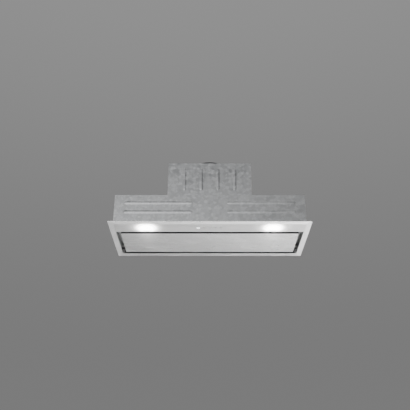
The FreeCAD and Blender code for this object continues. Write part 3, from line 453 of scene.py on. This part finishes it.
def black_ferrite():
    finish = Finish("black ferrite")
    grit = finish.noise(finish.place(), 900.0, detail=4.0)
    colour = finish.mix(grit, grey(0.03), grey(0.09))
    return finish.surface(base_color=colour, metallic=0.2, roughness=0.45 + 0.2 * grit,
                          normal=finish.bump(grit, 0.3, 0.0003))


def cable_sheath():
    finish = Finish("smooth cable sheath")
    ripple = finish.noise(finish.stretched((60, 600, 600)), 1.0, detail=2.0)
    colour = finish.mix(ripple, grey(0.012), grey(0.035))
    return finish.surface(base_color=colour, roughness=0.42 + 0.12 * ripple,
                          normal=finish.bump(ripple, 0.2, 0.0003))


def satin_plate(finish, level, **more):
    """Satin plating with fine tool marks and a little handling."""
    lines = finish.noise(finish.place(), 1800.0, detail=2.0)
    touched = smudges(finish, 80.0)
    colour = finish.mix(lines, grey(level * 0.9), grey(level * 1.05))
    return finish.surface(base_color=colour, metallic=1.0, roughness=0.22 + 0.1 * lines + 0.1 * touched,
                          normal=finish.bump(lines, 0.08, 0.0001), **more)


def lamp_rim_plate():
    """The rim round a lamp, with painted light from the edge of the lens: dimmer further out, and none
    towards the slot.
    """
    finish = Finish("satin lamp rim")
    x, y = finish.plan()
    far = finish.smooth(from_lamp(finish, x, y), lens_radius, bezel_radius + 1.5 * MM)
    at_slot = finish.smooth(y, bezel_high.y - 8.0 * MM, bezel_high.y - 2.5 * MM)
    glow = finish.mix(far, LAMP_LIGHT, grey(0.7))
    glow = finish.mix(at_slot, glow, grey(0.0))
    return satin_plate(finish, 0.70, emission_color=glow, emission_strength=RIM_GLOW)


def lit_lens():
    """Frosted lens lit from behind: even in the middle, dimmer at its rim and towards the slot."""
    finish = Finish("lit frosted lens")
    x, y = finish.plan()
    rim = finish.smooth(from_lamp(finish, x, y), 0.72 * lens_radius, lens_radius)
    frost = finish.noise(finish.place(), 1400.0, detail=3.0)
    at_slot = finish.smooth(y, lens_high.y - 14.0 * MM, lens_high.y - 2.0 * MM)
    glow = finish.mix(rim, LAMP_LIGHT, grey(0.6, 0.03))
    glow = finish.mix(at_slot, glow, grey(0.2, 0.03))
    colour = finish.mix(frost, grey(0.80), grey(0.92))
    return finish.surface(base_color=colour, roughness=0.45 + 0.2 * frost,
                          emission_color=glow, emission_strength=LENS_GLOW,
                          normal=finish.bump(frost, 0.2, 0.0003))


def lit_key():
    """Translucent key cap with a soft light in its middle."""
    finish = Finish("lit key cap")
    x, y = finish.plan()
    low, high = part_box("key_power")
    middle = (low + high) / 2
    cap_radius = (high.x - low.x) / 2
    across = x - middle.x
    along = y - middle.y
    radius = finish.maths("SQRT", across * across + along * along)
    halo = finish.smooth(radius, 0.35 * cap_radius, 0.75 * cap_radius)
    frost = finish.noise(finish.place(), 1600.0, detail=2.0)
    glow = finish.mix(halo, (0.95, 0.98, 1.0, 1.0), (0.30, 0.31, 0.32, 1.0))
    colour = finish.mix(frost, grey(0.72), grey(0.86))
    return finish.surface(base_color=colour, roughness=0.35 + 0.15 * frost,
                          emission_color=glow, emission_strength=KEY_GLOW,
                          normal=finish.bump(frost, 0.15, 0.0002))


galvanised = galvanised_steel()
zinc = ground_steel("zinc plated screw", 0.62, 0.30)
bright = ground_steel("bright steel", 0.70, 0.20)
black_plastic = moulded_plastic("black moulded plastic", grey(0.014), grey(0.035), 0.42)
grey_plastic = moulded_plastic("grey moulded plastic", grey(0.22), grey(0.30), 0.45)
white_plastic = moulded_plastic("white moulded plastic", grey(0.66, 0.02), grey(0.76, 0.02), 0.40)
lamp_aluminium = rolled_aluminium("die-cast aluminium", grey(0.45), grey(0.60))
filter_aluminium = rolled_aluminium("dark anodised aluminium", grey(0.24), grey(0.30), 0.25, 0.60)
# The cartridge mesh grows darker with height, from just above its lowest layer to its middle, and stays
# dark above.
mesh_aluminium = rolled_aluminium("expanded filter aluminium", grey(0.55), grey(0.72),
                                  greasy=(cartridge_low.z + CLEAN_DEPTH, cartridge_middle))
# Painted light: the hinge block turns pale above its middle height, to lift its shaded front face.
dark_plastic = moulded_plastic("dark moulded plastic", grey(0.050), grey(0.065), 0.70, shine=0.1,
                               natural=(block_middle - COLOUR_CHANGE, block_middle + COLOUR_CHANGE))
board_green = solder_mask("green circuit board", (0.010, 0.055, 0.030, 1.0), (0.020, 0.095, 0.050, 1.0),
                          (0.62, 0.60, 0.56, 1.0))
board_white = solder_mask("white lamp board", grey(0.60), grey(0.72), (0.72, 0.58, 0.20, 1.0))

finish_of_slot = {
    "stainless_trim": trim_steel(),
    "stainless_fascia": fascia_steel(),
    "stainless_panel": panel_steel(),
    "galvanised_steel": galvanised,
    "zinc_screw": zinc,
    "bright_steel": bright,
    "lamp_rim": lamp_rim_plate(),
    "lamp_lens": lit_lens(),
    "lamp_aluminium": lamp_aluminium,
    "led_board": board_white,
    "circuit_board": board_green,
    "key_cap": satin_plate(Finish("satin key cap"), 0.50),
    "key_cap_lit": lit_key(),
    "black_plastic": black_plastic,
    "grey_plastic": grey_plastic,
    "dark_plastic": dark_plastic,
    "white_plastic": white_plastic,
    "motor_paint": satin_paint(),
    "motor_core": laminated_core(),
    "filter_aluminium": filter_aluminium,
    "filter_mesh": mesh_aluminium,
    "magnet": black_ferrite(),
    "lead_sheath": cable_sheath(),
}

slot_of_node = {subpart["node"]: subpart["material_slot"] for subpart in frame["record"]["subparts"]}
for node, slot in slot_of_node.items():
    dress(finish_of_slot[slot], node)


# Making of pieces.

def even_turns(count):
    """Angles of places spaced evenly round a circle."""
    return [2 * math.pi * step / count for step in range(count)]


def piece(name, shape, body, like, smooth=True):
    """Turns a bmesh into a piece that rides on a body, with the finish of the node that it is like."""
    slot = slot_of_node[like]
    bmesh.ops.recalc_face_normals(shape, faces=shape.faces)
    mesh = bpy.data.meshes.new(name)
    shape.to_mesh(mesh)
    shape.free()
    mesh.materials.append(finish_of_slot[slot])
    if smooth:
        mesh.shade_smooth()
        mesh.set_sharp_from_angle(angle=math.radians(40))
    made = bpy.data.objects.new(name, mesh)
    bpy.context.collection.objects.link(made)
    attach(made, body)
    return made


def skin(shape, rings, hoop=False, lid=True):
    """Joins rings of points into a tube: a hoop meets its own start, and else the first ring is capped,
    and the last one too where lid says so. Gives the rings of corners."""
    rows = [[shape.verts.new(point) for point in ring] for ring in rings]
    for first, second in zip(rows, rows[1:] + rows[:1] if hoop else rows[1:]):
        for index in range(len(first)):
            after = (index + 1) % len(first)
            shape.faces.new((first[index], first[after], second[after], second[index]))
    if not hoop:
        shape.faces.new(rows[0])
    if lid and not hoop:
        shape.faces.new(rows[-1])
    return rows


# Filter cartridges: layers of expanded metal, each of zigzag strands that meet at their peaks.

STRAND_WIDTH = 1.1 * MM
STRAND_THICK = 0.5 * MM
STRAND_LIFT = 0.35 * MM
BOND_SHARE = 0.3
LAYER_INSET = 0.9 * MM
OUTER_DIAMOND = (9.0 * MM, 2.3 * MM)
INNER_DIAMOND = (7.0 * MM, 2.0 * MM)


def strand(shape, points, lift):
    """A flat strand through points in the plane, its height given by lift at each point."""
    rings = []
    for index, (x, y) in enumerate(points):
        near, far = y - STRAND_WIDTH / 2, y + STRAND_WIDTH / 2
        low, high = lift[index] - STRAND_THICK / 2, lift[index] + STRAND_THICK / 2
        rings.append([(x, near, low), (x, far, low), (x, far, high), (x, near, high)])
    skin(shape, rings)


def expanded_layer(shape, low, high, z, pitch, rise, offset):
    """One layer: diamonds pitch long and twice rise wide, with short bonds where strands meet."""
    rows = int((high.y - low.y) / (2 * rise))
    steps = int((high.x - low.x) / (pitch / 2))
    step = (high.x - low.x) / steps
    gap = (high.y - low.y) / rows
    for row in range(rows):
        middle = low.y + (row + 0.5) * gap
        points = []
        lift = []
        for index in range(steps + 1):
            up = 1 if (index + row + offset) % 2 else -1
            for part in (-BOND_SHARE / 2, BOND_SHARE / 2):
                x = min(max(low.x + (index + part) * step, low.x), high.x)
                points.append((x, middle + up * (gap - STRAND_WIDTH) / 2))
                lift.append(z + up * STRAND_LIFT)
        strand(shape, points, lift)


def filter_mesh(side):
    node = f"filter_{side}_mesh"
    low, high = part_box(node)
    shape = bmesh.new()
    expanded_layer(shape, low, high, low.z + LAYER_INSET, *OUTER_DIAMOND, 0)
    expanded_layer(shape, low, high, (low.z + high.z) / 2, *INNER_DIAMOND, 1)
    expanded_layer(shape, low, high, high.z - LAYER_INSET, *OUTER_DIAMOND, 1)
    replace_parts(piece(f"filter_{side}_expanded_mesh", shape, "hood", node, smooth=False), node)


for side in ("left", "right"):
    filter_mesh(side)


# Screws: pan heads with a cross recess.

HEAD_RADIUS = 3.6 * MM
HEAD_HEIGHT = 2.0 * MM
SHANK_RADIUS = 1.6 * MM
SHANK_LENGTH = 3.0 * MM


def circle(x, y, z, radius, count=24):
    return [(x + radius * math.cos(turn), y + radius * math.sin(turn), z) for turn in even_turns(count)]


def cross_outline(x, y, z, reach, half, turn):
    """Twelve corners of a cross, turned about its middle."""
    corners = []
    for quarter in range(4):
        for across, along in ((reach, -half), (reach, half), (half, half)):
            angle = quarter * math.pi / 2 + turn
            corners.append((x + across * math.cos(angle) - along * math.sin(angle),
                            y + across * math.sin(angle) + along * math.cos(angle), z))
    return corners


def pan_screw(shape, x, y, z, turn):
    """A screw whose head stands on z: shank, rounded head and a cross recess turned by an angle."""
    profile = ((SHANK_RADIUS, -SHANK_LENGTH), (SHANK_RADIUS, 0), (HEAD_RADIUS, 0),
               (HEAD_RADIUS, 0.45 * HEAD_HEIGHT), (0.93 * HEAD_RADIUS, 0.75 * HEAD_HEIGHT),
               (0.78 * HEAD_RADIUS, 0.93 * HEAD_HEIGHT))
    rim = skin(shape, [circle(x, y, z + rise, radius) for radius, rise in profile], lid=False)[-1]
    recess = [cross_outline(x, y, z + 0.35 * HEAD_HEIGHT, 0.34 * HEAD_RADIUS, 0.09 * HEAD_RADIUS, turn),
              cross_outline(x, y, z + HEAD_HEIGHT, 0.56 * HEAD_RADIUS, 0.13 * HEAD_RADIUS, turn)]
    mouth = skin(shape, recess, lid=False)[-1]
    edges = [shape.edges.get((ring[index - 1], ring[index]))
             for ring in (rim, mouth) for index in range(len(ring))]
    bmesh.ops.triangle_fill(shape, use_beauty=True, edges=edges)


def screw_places():
    """The middle of each screw of the model, at the underside of its head."""
    mesh = nodes["housing_screws"].data
    tops = {}
    for corner in mesh.vertices:
        key = None
        for known in tops:
            if math.hypot(known[0] - corner.co.x, known[1] - corner.co.y) < 3 * HEAD_RADIUS:
                key = known
        tops.setdefault(key or (corner.co.x, corner.co.y), []).append(corner.co.copy())
    for corners in tops.values():
        xs = [corner.x for corner in corners]
        ys = [corner.y for corner in corners]
        top = max(corner.z for corner in corners)
        yield (min(xs) + max(xs)) / 2, (min(ys) + max(ys)) / 2, top - HEAD_HEIGHT


screws = bmesh.new()
for number, (x, y, z) in enumerate(screw_places()):
    pan_screw(screws, x, y, z, 0.7 * number)
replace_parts(piece("housing_pan_screws", screws, "hood", "housing_screws"), "housing_screws")


# Forms pressed or moulded on a sheet: stiffening beads, louvres and ribs.

SUNK = 0.1 * MM
SECTION_STEPS = 8
TIP_STEPS = 6
TIP_LEAST = 0.0004
BEAD_WIDTH = 16 * MM
BEAD_HEIGHT = 1.5 * MM
CASING_BEAD_INNER = 60 * MM
CASING_BEAD_OUTER = 300 * MM
CASING_BEAD_LEVELS = (0.40, 0.72)
END_BEAD_INSET = 30 * MM
FAN_BEAD_PLACES = (-90 * MM, -30 * MM, 30 * MM, 90 * MM)
FAN_BEAD_FOOT = 28 * MM
FAN_BEAD_HEAD = 22 * MM
PANEL_BEAD_INNER = 40 * MM
PANEL_BEAD_OUTER = 270 * MM
PANEL_BEAD_SHARES = (0.24, 0.50, 0.76)
LOUVRE_WIDTH = 8 * MM
LOUVRE_HEIGHT = 2.8 * MM
LOUVRE_HALF = 30 * MM
LOUVRE_PITCH = 1.75 * LOUVRE_WIDTH
RIB_WIDTH = 4 * MM
RIB_HEIGHT = 1.2 * MM
RIB_PLACES = (-36 * MM, 0, 36 * MM)
RIB_START = 14 * MM
RIB_END_GAP = 8 * MM
FLAP_HALF = 0.5 * MM


def rounded_section(height):
    """A section that rises smoothly out of the sheet, as places across it with their heights."""
    return [(step / SECTION_STEPS, height * (0.5 + 0.5 * math.cos(math.pi * step / SECTION_STEPS)))
            for step in range(-SECTION_STEPS, SECTION_STEPS + 1)]


def raised(shape, start, end, out, width, section):
    """A long form with rounded ends that stands out of a sheet from start to end."""
    start, end, out = Vector(start), Vector(end), Vector(out)
    along = (end - start).normalized()
    across = out.cross(along)
    reach = width / 2
    length = (end - start).length
    stations = [reach * (1 - math.cos(step * math.pi / (2 * TIP_STEPS))) for step in range(TIP_STEPS + 1)]
    stations = stations + [length - station for station in reversed(stations)]
    rings = []
    for station in stations:
        from_tip = min(station, length - station)
        share = math.sqrt(max(1 - (1 - min(from_tip / reach, 1)) ** 2, TIP_LEAST))
        middle = start + along * station
        rings.append([middle + across * (reach * share * place) + out * (share * height - SUNK)
                      for place, height in section])
    skin(shape, rings)


def housing_beads():
    shape = bmesh.new()
    low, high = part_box("casing_wrap")
    levels = [low.z + share * (high.z - low.z) for share in CASING_BEAD_LEVELS]
    section = rounded_section(BEAD_HEIGHT)
    for face, out in ((low.y, (0, -1, 0)), (high.y, (0, 1, 0))):
        for z in levels:
            for side in (-1, 1):
                raised(shape, (side * CASING_BEAD_INNER, face, z), (side * CASING_BEAD_OUTER, face, z),
                       out, BEAD_WIDTH, section)
    for node, out in (("casing_end_left", -1), ("casing_end_right", 1)):
        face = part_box(node)[0 if out < 0 else 1].x
        for z in levels:
            raised(shape, (face, low.y + END_BEAD_INSET, z), (face, high.y - END_BEAD_INSET, z),
                   (out, 0, 0), BEAD_WIDTH, section)
    wrap_low, wrap_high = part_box("fan_box_wrap")
    for face, out in ((wrap_low.y, -1), (wrap_high.y, 1)):
        for x in FAN_BEAD_PLACES:
            raised(shape, (x, face, wrap_low.z + FAN_BEAD_FOOT), (x, face, wrap_high.z - FAN_BEAD_HEAD),
                   (0, out, 0), BEAD_WIDTH, section)
    piece("housing_beads", shape, "hood", "casing_wrap")


def control_lid_louvres():
    """Six vents in the lid of the control box, each open towards the rear."""
    shape = bmesh.new()
    low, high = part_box("control_box_lid")
    middle = (low + high) / 2
    section = [(-1, 0), (-0.4, 0.45 * LOUVRE_HEIGHT), (0.3, 0.85 * LOUVRE_HEIGHT),
               (1, LOUVRE_HEIGHT), (1, 0)]
    for step in range(-3, 3):
        y = middle.y + (step + 0.5) * LOUVRE_PITCH
        raised(shape, (middle.x + LOUVRE_HALF, y, high.z), (middle.x - LOUVRE_HALF, y, high.z),
               (0, 0, 1), LOUVRE_WIDTH, section)
    piece("control_lid_louvres", shape, "hood", "control_box_lid")


def control_lid_screws():
    shape = bmesh.new()
    low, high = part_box("control_box_lid")
    inset = 3 * HEAD_RADIUS
    for number, (x, y) in enumerate(((low.x + inset, low.y + inset), (high.x - inset, low.y + inset),
                                     (low.x + inset, high.y - inset), (high.x - inset, high.y - inset))):
        pan_screw(shape, x, y, high.z, 0.5 + 0.9 * number)
    piece("control_lid_screws", shape, "hood", "housing_screws")


COLLAR_RADIUS = 75 * MM
GUSSET_REACH = 9 * MM
GUSSET_RISE = 15 * MM
GUSSET_THICK = 2.4 * MM
GUSSET_COUNT = 12
FLANGE_THICK = 1.2 * MM
LIP_RADIUS = 1.3 * MM
LIP_SIDES = 96


def collar_ribs():
    """Gussets between the outlet collar and its flange, and a lip near the top that holds the duct."""
    shape = bmesh.new()
    low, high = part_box("outlet_collar")
    middle = (low + high) / 2
    foot = low.z + FLANGE_THICK - SUNK
    root = COLLAR_RADIUS - SUNK

    def on_collar(angle, radius, side, z):
        return (middle.x + radius * math.cos(angle) - side * math.sin(angle),
                middle.y + radius * math.sin(angle) + side * math.cos(angle), z)

    for angle in even_turns(GUSSET_COUNT):
        corners = ((root, foot), (root + GUSSET_REACH, foot), (root + GUSSET_REACH, foot + GUSSET_THICK),
                   (root, foot + GUSSET_RISE))
        skin(shape, [[on_collar(angle, radius, side, z) for radius, z in corners]
                     for side in (-GUSSET_THICK / 2, GUSSET_THICK / 2)])
    lip_z = high.z - 6 * LIP_RADIUS
    bends = [math.pi * (step / 6 - 0.5) for step in range(7)]
    lip = [(root + LIP_RADIUS * math.cos(bend), lip_z + LIP_RADIUS * math.sin(bend)) for bend in bends]
    rings = [[on_collar(angle, radius, 0, z) for radius, z in lip] for angle in even_turns(LIP_SIDES)]
    skin(shape, rings, hoop=True)
    piece("outlet_collar_ribs", shape, "hood", "outlet_collar")


def damper_ribs(flap, body, side):
    """Three stiffening ribs across a damper flap; side is -1 at the front and 1 at the rear."""
    shape = bmesh.new()
    pin_low, pin_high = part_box("damper_pin")
    pin = (pin_low + pin_high) / 2
    flap_low, flap_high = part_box(flap)
    radius = (flap_high.x - flap_low.x) / 2
    top = pin.z + FLAP_HALF
    for x in RIB_PLACES:
        reach = math.sqrt(radius ** 2 - x ** 2) - RIB_END_GAP
        raised(shape, (x, pin.y + side * RIB_START, top), (x, pin.y + side * reach, top),
               (0, 0, 1), RIB_WIDTH, rounded_section(RIB_HEIGHT))
    piece(flap + "_ribs", shape, body, flap)


def panel_beads():
    """Stiffening beads across the inner plate of the suction panel, clear of its hinge and magnets."""
    shape = bmesh.new()
    low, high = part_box("suction_panel_back")
    section = rounded_section(BEAD_HEIGHT)
    for share in PANEL_BEAD_SHARES:
        y = low.y + share * (high.y - low.y)
        for side in (-1, 1):
            raised(shape, (side * PANEL_BEAD_INNER, y, high.z), (side * PANEL_BEAD_OUTER, y, high.z),
                   (0, 0, 1), BEAD_WIDTH, section)
    piece("suction_panel_beads", shape, "suction_panel", "suction_panel_back")


# Spot welds and rivets, as low round buttons.

SHEET_THICK = 0.8 * MM
BUTTON_SIDES = 20
WELD_INSET = 7 * MM
WELD_RADIUS = 2.6 * MM
WELD_HEIGHT = 0.5 * MM
WELD_PROFILE = ((1.0, 0.0), (0.86, 1.0), (0.66, 1.0), (0.50, 0.35))
RIVET_RADIUS = 2.8 * MM
RIVET_HEIGHT = 1.0 * MM
RIVET_PROFILE = ((1.0, 0.0), (0.95, 0.45), (0.72, 0.82), (0.36, 1.0))


def button(shape, middle, out, radius, height, profile):
    """A button on a sheet, turned about out: its profile is in shares of the radius and the height."""
    middle, out = Vector(middle), Vector(out)
    first = out.orthogonal().normalized()
    second = out.cross(first)
    spokes = [first * math.cos(turn) + second * math.sin(turn) for turn in even_turns(BUTTON_SIDES)]
    rings = []
    for reach, rise in ((profile[0][0], -SUNK / height),) + profile:
        rings.append([middle + out * (rise * height) + spoke * (reach * radius) for spoke in spokes])
    skin(shape, rings)


def spread(first, last, count):
    """Evenly spaced places from first to last."""
    return [first + (last - first) * step / (count - 1) for step in range(count)]


def housing_spot_welds():
    """Welds beside the casing's upright seams and along those of the fan box, clear of the collar."""
    shape = bmesh.new()
    low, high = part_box("casing_wrap")
    places = []
    for x in (low.x + WELD_INSET, high.x - WELD_INSET):
        for z in spread(low.z + 2 * WELD_INSET, high.z - 2 * WELD_INSET, 5):
            places += [((x, low.y, z), (0, -1, 0)), ((x, high.y, z), (0, 1, 0))]
    wrap_low, wrap_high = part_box("fan_box_wrap")
    collar_low, collar_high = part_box("outlet_collar")
    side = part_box("fan_box_front")[1].x + SHEET_THICK
    for y in (wrap_low.y + WELD_INSET, wrap_high.y - WELD_INSET):
        for z in spread(wrap_low.z + 2 * WELD_INSET, wrap_high.z - 2 * WELD_INSET, 6):
            places += [((-side, y, z), (-1, 0, 0)), ((side, y, z), (1, 0, 0))]
        for x in spread(-side + 2 * WELD_INSET, side - 2 * WELD_INSET, 8):
            if abs(x) > collar_high.x / 2 or y < collar_low.y:
                places.append(((x, y, wrap_high.z), (0, 0, 1)))
    for place, out in places:
        button(shape, place, out, WELD_RADIUS, WELD_HEIGHT, WELD_PROFILE)
    piece("housing_spot_welds", shape, "hood", "casing_wrap")


def filter_rivets(side):
    """Rivets along the front and the ends of a filter frame, on its underside, clear of its latch."""
    shape = bmesh.new()
    low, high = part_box(f"filter_{side}_frame")
    mesh_low, mesh_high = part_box(f"filter_{side}_mesh")
    latch_low, latch_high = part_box(f"filter_latch_{side}")
    z = mesh_low.z - (high.z - mesh_high.z)
    front = (low.y + mesh_low.y) / 2
    ends = ((low.x + mesh_low.x) / 2, (mesh_high.x + high.x) / 2)
    places = [(x, front) for x in spread(*ends, 5)[1:-1] if not latch_low.x < x < latch_high.x]
    places += [(x, y) for x in ends for y in spread(front, mesh_high.y - 2 * RIVET_RADIUS, 4)]
    for x, y in places:
        button(shape, (x, y, z), (0, 0, -1), RIVET_RADIUS, RIVET_HEIGHT, RIVET_PROFILE)
    piece(f"filter_{side}_frame_rivets", shape, "hood", f"filter_{side}_frame")


GRIP_RISE = 0.7 * MM
GRIP_HALF = 0.8 * MM
GRIP_START = 0.6 * MM
GRIP_END_SHARE = 0.38
GRIP_COUNT = 18


def gland_grips():
    """Grip ribs round the nut of the cable gland."""
    shape = bmesh.new()
    low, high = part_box("mains_gland")
    middle = (low + high) / 2
    tray_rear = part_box("control_box_tray")[1].y
    radius = (high.x - low.x) / 2
    start = tray_rear + GRIP_START
    end = tray_rear + GRIP_END_SHARE * (high.y - tray_rear)
    for angle in even_turns(GRIP_COUNT):
        around = Vector((math.cos(angle), 0, math.sin(angle)))
        across = Vector((-math.sin(angle), 0, math.cos(angle)))
        corners = ((-GRIP_HALF, -SUNK), (GRIP_HALF, -SUNK),
                   (GRIP_HALF / 2, GRIP_RISE), (-GRIP_HALF / 2, GRIP_RISE))
        skin(shape, [[Vector((middle.x, y, middle.z)) + around * (radius + rise) + across * shift
                      for shift, rise in corners] for y in (start, end)])
    piece("mains_gland_grips", shape, "hood", "mains_gland", smooth=False)


housing_beads()
panel_beads()
housing_spot_welds()
filter_rivets("left")
filter_rivets("right")
gland_grips()
control_lid_louvres()
control_lid_screws()
collar_ribs()
damper_ribs("damper_flap_front", "front_damper", -1)
damper_ribs("damper_flap_rear", "rear_damper", 1)


# Room, light and camera.

FLOOR_Z = -1.65
FLOOR_RADIUS = 40.0
HORIZON = 0.20
ZENITH = 0.34
CAMERA_PLACE = (-0.00767, -1.97192, -0.89640)
CAMERA_TILT = math.radians(117.736)
CAMERA_TURN = math.radians(0.280)
CAMERA_ROLL = math.radians(0.12)
LENS_LENGTH = 52.24
SENSOR_WIDTH = 36.0
NEAREST = 0.02


def floor_finish():
    finish = Finish("pale floor")
    mottle = finish.noise(finish.place(), 3.0, detail=4.0)
    colour = finish.mix(mottle, grey(0.74), grey(0.80))
    return finish.surface(base_color=colour, roughness=0.7 + 0.1 * mottle)


def room():
    shape = bmesh.new()
    bmesh.ops.create_circle(shape, cap_ends=True, segments=96, radius=FLOOR_RADIUS)
    mesh = bpy.data.meshes.new("floor")
    shape.to_mesh(mesh)
    shape.free()
    mesh.materials.append(floor_finish())
    floor = bpy.data.objects.new("floor", mesh)
    floor.location.z = FLOOR_Z
    bpy.context.collection.objects.link(floor)
    world = bpy.data.worlds.new("pale room")
    world.use_nodes = True
    sky = Shading(world.node_tree)
    upward = sky.node("ShaderNodeSeparateXYZ", None, {0: sky.node("ShaderNodeTexCoord")}, output=2)
    background = world.node_tree.nodes["Background"]
    sky.feed(background.inputs["Color"], grey(1.0))
    sky.feed(background.inputs["Strength"], HORIZON + (ZENITH - HORIZON) * sky.smooth(upward, 0.2, 1.0))
    bpy.context.scene.world = world


def soft_light(name, place, target, width, height, power):
    lamp = bpy.data.lights.new(name, "AREA")
    lamp.shape = "RECTANGLE"
    lamp.size = width
    lamp.size_y = height
    lamp.energy = power
    shown = bpy.data.objects.new(name, lamp)
    shown.location = place
    shown.rotation_euler = (Vector(target) - Vector(place)).to_track_quat("-Z", "Y").to_euler()
    shown.visible_camera = False
    bpy.context.collection.objects.link(shown)


def photo_camera():
    eye = bpy.data.cameras.new("photo_camera")
    eye.lens = LENS_LENGTH
    eye.sensor_width = SENSOR_WIDTH
    eye.clip_start = NEAREST
    shown = bpy.data.objects.new("photo_camera", eye)
    shown.location = CAMERA_PLACE
    shown.rotation_euler = (CAMERA_TILT, 0, CAMERA_TURN)
    shown.rotation_euler.rotate_axis("Z", CAMERA_ROLL)
    bpy.context.collection.objects.link(shown)
    bpy.context.scene.camera = shown


room()
soft_light("front_fill", (-0.8, -2.8, 0.3), (0, 0, 0.1), 2.4, 1.8, 28)
soft_light("floor_near", (0.0, 1.1, 0.0), (0.0, 1.1, FLOOR_Z), 1.4, 1.4, 48)
soft_light("floor_right", (1.5, 2.2, -0.6), (1.5, 2.2, FLOOR_Z), 1.2, 1.2, 115)
soft_light("floor_under", (0.0, -0.1, -0.5), (0.0, -0.1, FLOOR_Z), 0.9, 0.5, 30)
soft_light("overhead", (0.2, 0.2, 2.8), (0, 0, 0.2), 2.6, 2.6, 38)
soft_light("rear_fill", (-1.8, 2.8, 1.6), (0, 0, 0.1), 3.0, 2.4, 55)
photo_camera()
